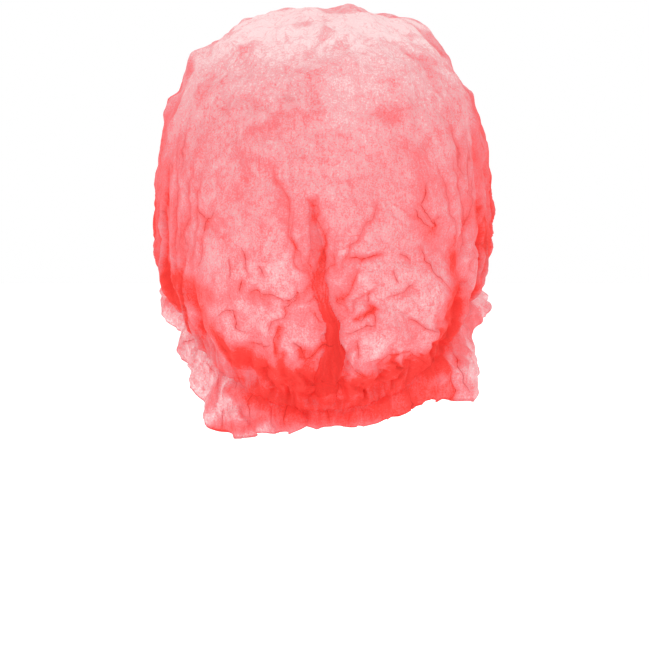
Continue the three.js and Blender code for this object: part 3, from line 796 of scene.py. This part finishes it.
def grid_faces(rows, columns, close_rows=False):
    """Quads of a grid that closes round, facing outwards where rows go up and columns go round from nape
    to left."""
    i = np.arange(rows if close_rows else rows - 1)[:, None]
    j = np.arange(columns)[None, :]
    above = (i + 1) % rows
    beside = (j + 1) % columns
    corners = (i * columns + j, above * columns + j, above * columns + beside, i * columns + beside)
    return np.stack(corners, axis=-1).reshape(-1, 4)


def add_object(name, data):
    """Object put into the scene."""
    thing = bpy.data.objects.new(name, data)
    bpy.context.scene.collection.objects.link(thing)
    return thing


def make_piece(name, points, faces, layers, shade, material, lines=None):
    """Mesh object from points in mm and faces, with the layers of cloth, the soft shade and the steps from
    the nearest crease."""
    mesh = bpy.data.meshes.new(name)
    mesh.from_pydata((points.reshape(-1, 3) * MM).tolist(), [], [list(face) for face in faces])
    mesh.polygons.foreach_set("use_smooth", np.ones(len(mesh.polygons), bool))
    for label, values in (("layers", layers), ("shade", shade)):
        attribute = mesh.attributes.new(label, "FLOAT", "POINT")
        attribute.data.foreach_set("value", values.ravel().astype(np.float32))
    if lines is None:
        lines = np.tile(NO_LINE, (len(mesh.vertices), 1))
    attribute = mesh.attributes.new("line", "FLOAT_VECTOR", "POINT")
    attribute.data.foreach_set("vector", lines.ravel().astype(np.float32))
    mesh.materials.append(material)
    return add_object(name, mesh)


def make_crown(surface, material):
    """Crown piece: the grid of its surface, closed by a fan of triangles to one point at the top."""
    points, layers, shade, lines = surface
    faces = grid_faces(CROWN_ROWS, CROWN_COLUMNS).tolist()
    last_ring = (CROWN_ROWS - 1) * CROWN_COLUMNS
    peak = CROWN_ROWS * CROWN_COLUMNS
    for column in range(CROWN_COLUMNS):
        faces.append((last_ring + column, peak, last_ring + (column + 1) % CROWN_COLUMNS))
    every_point = np.vstack((points.reshape(-1, 3), points[-1].mean(axis=0)))
    every_layer = np.append(layers, layers[-1].mean())
    every_shade = np.append(shade, 0.0)
    every_line = np.vstack((lines.reshape(-1, 3), NO_LINE))
    return make_piece("crown_cloth", every_point, faces, every_layer, every_shade, material, every_line)


def make_bundle(surface, material):
    """Bundle of pleats: the part of the crown's surface that lies along the pleats, raised along its
    normals. A pleat is a flat ridge with crisp sides that narrows and sinks towards its high end, with
    its edges just under the crown. It has at least the crown's own layers, and its creases."""
    crown, crown_layers, _, lines = surface
    normals = grid_normals(crown)
    place = photo_place(crown + BUNDLE.wander * wander(crown, WANDER_SIZE, WANDER_SEEDS))
    ridge = np.zeros(crown.shape[:-1])
    lift = np.zeros_like(ridge)
    dense = np.full_like(ridge, BUNDLE.foot)
    shade = np.zeros_like(ridge)
    for line, low_width, high_width, height in PLEATS:
        low, high = line[0][1], line[-1][1]
        along = np.clip((place[..., 1] - low) / (high - low), 0, 1)
        _, gap, _ = from_line(place, line)
        across = gap / blend(low_width, high_width, along)
        shape = np.clip(1 - across**3, 0, 1)
        rise = height * shape * (1 - 0.75 * smoothstep(along, 0.4, 1)) * (0.75 + 0.25 * np.cos(6 * across))
        rise *= smoothstep(along, 0, 0.15)
        streak = np.cos(7 * across + clouds(crown, BUNDLE_STREAKS))
        solid = smoothstep(height * (1 - 0.5 * along), *BUNDLE.height)
        heap = blend(BUNDLE.low, BUNDLE.high, along) + BUNDLE.streaks * streak
        heap *= blend(BUNDLE.thin_part, 1, solid) * smoothstep(shape, 0, 0.4)
        # Painted shade along the streaks and the edges of a pleat
        dark = BUNDLE.shade * solid * (smoothstep(streak, 0.2, 1.0) + bell(across - 0.9, 0.1))
        highest = rise > lift
        dense = np.where(highest, BUNDLE.thin + BUNDLE.solid * solid + heap, dense)
        shade = np.where(highest, dark, shade)
        lift = np.maximum(lift, rise)
        ridge = np.maximum(ridge, shape)
    ridge[normals[..., 1] < 0] = 0
    for _ in range(BUNDLE.smoothing):
        lift = (2 * lift + np.roll(lift, 1, 0) + np.roll(lift, -1, 0)) / 4
        lift = (2 * lift + np.roll(lift, 1, 1) + np.roll(lift, -1, 1)) / 4
    dense = np.maximum(dense + clouds(crown, BUNDLE_MOTTLE), crown_layers + BUNDLE.more)
    out = blend(BUNDLE.under, BUNDLE.over, smoothstep(ridge, 0, 0.35)) + lift * smoothstep(ridge, 0, 0.6)
    points = crown + normals * out[..., None]
    faces = grid_faces(*ridge.shape)
    faces = faces[(ridge.ravel()[faces] > 0).all(axis=1)]
    used, faces = np.unique(faces, return_inverse=True)
    return make_piece(
        "back_gather_cloth", points.reshape(-1, 3)[used], faces.reshape(-1, 4),
        np.maximum(dense.ravel()[used], THINNEST.bundle), shade.ravel()[used], material,
        lines.reshape(-1, 3)[used],
    )


def linear(hex_colour):
    """Linear colour, with alpha 1, from an sRGB hex value."""
    parts = [int(hex_colour[k:k + 2], 16) / 255 for k in (1, 3, 5)]
    return [p / 12.92 if p <= 0.04045 else ((p + 0.055) / 1.055) ** 2.4 for p in parts] + [1.0]


def add_node(tree, kind, inputs=None, **settings):
    """Shader node with its settings; an input is a link from a socket or a value."""
    node = tree.nodes.new("ShaderNode" + kind)
    for key, value in settings.items():
        setattr(node, key, value)
    for key, value in (inputs or {}).items():
        if isinstance(value, bpy.types.NodeSocket):
            tree.links.new(value, node.inputs[key])
        else:
            node.inputs[key].default_value = value
    return node


def calculate(tree, operation, *values):
    """Result of a sum over sockets and numbers."""
    return add_node(tree, "Math", dict(enumerate(values)), operation=operation).outputs[0]


def noise(tree, place, size, detail, roughness=0.5, distortion=0.0):
    """Noise from 0 to 1 with features of the given size in mm."""
    return add_node(tree, "TexNoise", {
        "Vector": place, "Scale": 1 / (size * MM), "Detail": detail, "Roughness": roughness,
        "Distortion": distortion,
    }).outputs["Fac"]


def remap(tree, value, low, high, first, last, **settings):
    """Goes from first, where the value is low, to last, where it is high."""
    return add_node(tree, "MapRange", {
        "Value": value, "From Min": low, "From Max": high, "To Min": first, "To Max": last,
    }, **settings).outputs["Result"]


def uneven_depth(tree, place):
    """Layers of cloth at each point: those of the vertex, made uneven by fibres, threads, and thick and
    thin places, with fine creases at random. Gives the layers and the pattern of fibres."""
    layers = add_node(tree, "Attribute", attribute_name="layers").outputs["Fac"]
    patterns = []
    uneven = 1.0
    for size, squeeze, detail, roughness, distortion, share in (FIBRES, THREADS, THICK_AND_THIN):
        squeezed = add_node(tree, "Mapping", {"Vector": place, "Scale": (1.0, 1.0, squeeze)}).outputs[0]
        pattern = noise(tree, squeezed, size, detail, roughness, distortion)
        patterns.append(pattern)
        part = remap(tree, pattern, *NOISE_RANGE, 1 - share, 1 + share)
        uneven = calculate(tree, "MULTIPLY", uneven, part)
    grain = calculate(tree, "SUBTRACT", uneven, 1.0)
    grained = calculate(tree, "MINIMUM", layers, GRAINED_LAYERS)
    depth = calculate(tree, "MULTIPLY_ADD", grain, grained, layers)

    here = noise(tree, place, CREASED_PLACES.size, 1.0)
    here = remap(tree, here, *CREASED_PLACES.begin, 0.0, LONG_CREASE_LAYERS)
    for look, strength in ((LONG_CREASES, here), (CRINKLES, CRINKLE_LAYERS)):
        size, detail, roughness, distortion, half_width = look
        pattern = noise(tree, place, size, detail, roughness, distortion)
        off_line = calculate(tree, "ABSOLUTE", calculate(tree, "SUBTRACT", pattern, 0.5))
        line = remap(tree, off_line, 0.0, half_width, 1.0, 0.0, interpolation_type="SMOOTHSTEP")
        depth = calculate(tree, "MULTIPLY_ADD", line, strength, depth)
    return depth, patterns[0]


def sharp_crease(tree, place):
    """How much of a drawn crease lies at each point: crisp across the step from the line, with a rough
    edge, times the line's painted shade. The crease adds layers of cloth, and its painted shade darkens it."""
    line = add_node(tree, "Attribute", attribute_name="line").outputs["Vector"]
    flat = add_node(tree, "VectorMath", {0: line, 1: (1.0, 1.0, 0.0)}, operation="MULTIPLY").outputs[0]
    length = add_node(tree, "VectorMath", {0: flat}, operation="LENGTH").outputs["Value"]
    rough = noise(tree, place, CREASE_EDGE.size, 1.0)
    off_line = calculate(tree, "MULTIPLY_ADD", rough, CREASE_EDGE.depth, length)
    crisp = remap(tree, off_line, *CREASE_EDGE.fade, 1.0, 0.0, interpolation_type="SMOOTHSTEP")
    darkness = add_node(tree, "SeparateXYZ", {"Vector": line}).outputs["Z"]
    return calculate(tree, "MULTIPLY", crisp, darkness)


def spunbond(name):
    """Spunbond polypropylene: fine fibres laid at random. One layer is sheer and pale, with cloudy thick
    and thin places; more layers are deeper in colour, more even, and hide what is behind."""
    material = bpy.data.materials.new(name)
    material.use_nodes = True
    tree = material.node_tree
    tree.nodes.clear()
    place = add_node(tree, "TexCoord").outputs["Object"]
    depth, fibres = uneven_depth(tree, place)
    crease = sharp_crease(tree, place)
    depth = calculate(tree, "MULTIPLY_ADD", crease, CREASE_LAYERS, depth)
    shade = add_node(tree, "Attribute", attribute_name="shade").outputs["Fac"]
    shade = calculate(tree, "MAXIMUM", crease, shade)

    covering = calculate(tree, "MAXIMUM", depth, THINNEST_COVER)
    passing = calculate(tree, "POWER", 1 - ONE_LAYER_COVER, covering)
    most = LAYER_COLOURS[-1][0]
    ramp = add_node(tree, "ValToRGB", {"Fac": calculate(tree, "DIVIDE", depth, most)})
    stops = ramp.color_ramp.elements
    while len(stops) < len(LAYER_COLOURS):
        stops.new(0.5)
    for stop, (count, colour) in zip(stops, LAYER_COLOURS):
        stop.position = count / most
        stop.color = linear(colour)
    # Painted shade: the sharp creases and the soft shade multiply the colour by CREASE_SHADE
    colour = add_node(tree, "MixRGB", {
        "Fac": shade, "Color1": ramp.outputs["Color"], "Color2": linear(CREASE_SHADE),
    }, blend_type="MULTIPLY").outputs["Color"]
    bump = add_node(tree, "Bump", {"Height": fibres, "Strength": 0.3, "Distance": 0.4 * MM}).outputs[0]
    face = add_node(tree, "BsdfPrincipled", {
        "Base Color": colour, "Roughness": 0.75, "IOR": 1.49, "Specular IOR Level": 0.25, "Normal": bump,
    }).outputs[0]
    glow = add_node(tree, "BsdfTranslucent", {"Color": colour, "Normal": bump}).outputs[0]
    cloth = add_node(tree, "MixShader", {0: GLOW, 1: face, 2: glow}).outputs[0]
    clear = add_node(tree, "BsdfTransparent").outputs[0]
    sheet = add_node(tree, "MixShader", {0: passing, 1: cloth, 2: clear}).outputs[0]
    add_node(tree, "OutputMaterial", {"Surface": sheet})
    return material


def floor_paint(name):
    """Matt white studio paint, a little bright of itself so that the floor runs into the backdrop."""
    material = bpy.data.materials.new(name)
    material.use_nodes = True
    face = material.node_tree.nodes["Principled BSDF"]
    face.inputs["Base Color"].default_value = linear(FLOOR.colour)
    face.inputs["Roughness"].default_value = 0.9
    face.inputs["Emission Color"].default_value = linear(FLOOR.colour)
    face.inputs["Emission Strength"].default_value = FLOOR.glow
    return material


def make_floor():
    """Pale floor well below the cap."""
    half = FLOOR.half
    mesh = bpy.data.meshes.new("floor")
    corners = [(-half, -half), (half, -half), (half, half), (-half, half)]
    mesh.from_pydata([(x, y, FLOOR.z) for x, y in corners], [], [(0, 1, 2, 3)])
    mesh.materials.append(floor_paint("matt white floor"))
    floor = add_object("floor", mesh)
    floor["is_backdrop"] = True


def point_at(thing, place, aim):
    """Puts a light or camera at a place, looking at the aim."""
    thing.location = place
    thing.rotation_euler = (Vector(aim) - Vector(place)).to_track_quat("-Z", "Y").to_euler()


def light_studio(aim):
    """White light from all round, a white backdrop, and soft lamps."""
    world = bpy.data.worlds.new("studio")
    bpy.context.scene.world = world
    world.use_nodes = True
    tree = world.node_tree
    tree.nodes.clear()
    white = (1, 1, 1, 1)
    lit = add_node(tree, "Background", {"Color": white, "Strength": SURROUND}).outputs[0]
    backdrop = add_node(tree, "Background", {"Color": white, "Strength": BACKDROP}).outputs[0]
    seen = add_node(tree, "LightPath").outputs["Is Camera Ray"]
    both = add_node(tree, "MixShader", {0: seen, 1: lit, 2: backdrop}).outputs[0]
    add_node(tree, "OutputWorld", {"Surface": both})
    for name, place, size, power in LAMPS:
        light = bpy.data.lights.new(name, "AREA")
        light.size = size
        light.energy = power
        point_at(add_object(name, light), np.array(place), aim)


def place_camera(aim):
    """The photograph's camera."""
    camera = add_object("camera", bpy.data.cameras.new("camera"))
    camera.data.sensor_width = SENSOR
    camera.data.lens = SENSOR * VIEW_DISTANCE / PIXEL / PHOTO_SIDE
    away = np.array((0, math.cos(VIEW_RISE), math.sin(VIEW_RISE)))
    point_at(camera, aim + away * VIEW_DISTANCE * MM, aim)
    bpy.context.scene.camera = camera
    bpy.context.scene.view_settings.view_transform = "Standard"
    bpy.context.scene.cycles.transparent_max_bounces = 48


sheet = spunbond("spunbond polypropylene, one layer")
gathered = spunbond("spunbond polypropylene, gathered")

crown_surface = make_crown_surface()
crown = make_crown(crown_surface, sheet)
points, layers, shade, lines = make_frill_surface()
faces = grid_faces(FRILL_ROWS, FRILL_COLUMNS)
frill = make_piece("frill_cloth", points, faces, layers, shade, sheet, lines)
points, layers, shade = make_hem_surface()
faces = grid_faces(HEM_ROWS, HEM_COLUMNS, close_rows=True)
hem = make_piece("elastic_hem_cloth", points, faces, layers, shade, gathered)
bundle = make_bundle(crown_surface, gathered)

for piece, node, slot in (
    (crown, "crown", "cloth_sheet"),
    (frill, "frill", "cloth_sheet"),
    (hem, "elastic_hem", "cloth_gathered"),
    (bundle, "back_gather", "cloth_gathered"),
):
    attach(piece, "root")
    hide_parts(node)

make_floor()
light_studio(VIEW_TARGET * MM)
place_camera(VIEW_TARGET * MM)

look_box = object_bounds()
[[list(map(float, corner)) for corner in box] for box in (cad_box, look_box)]
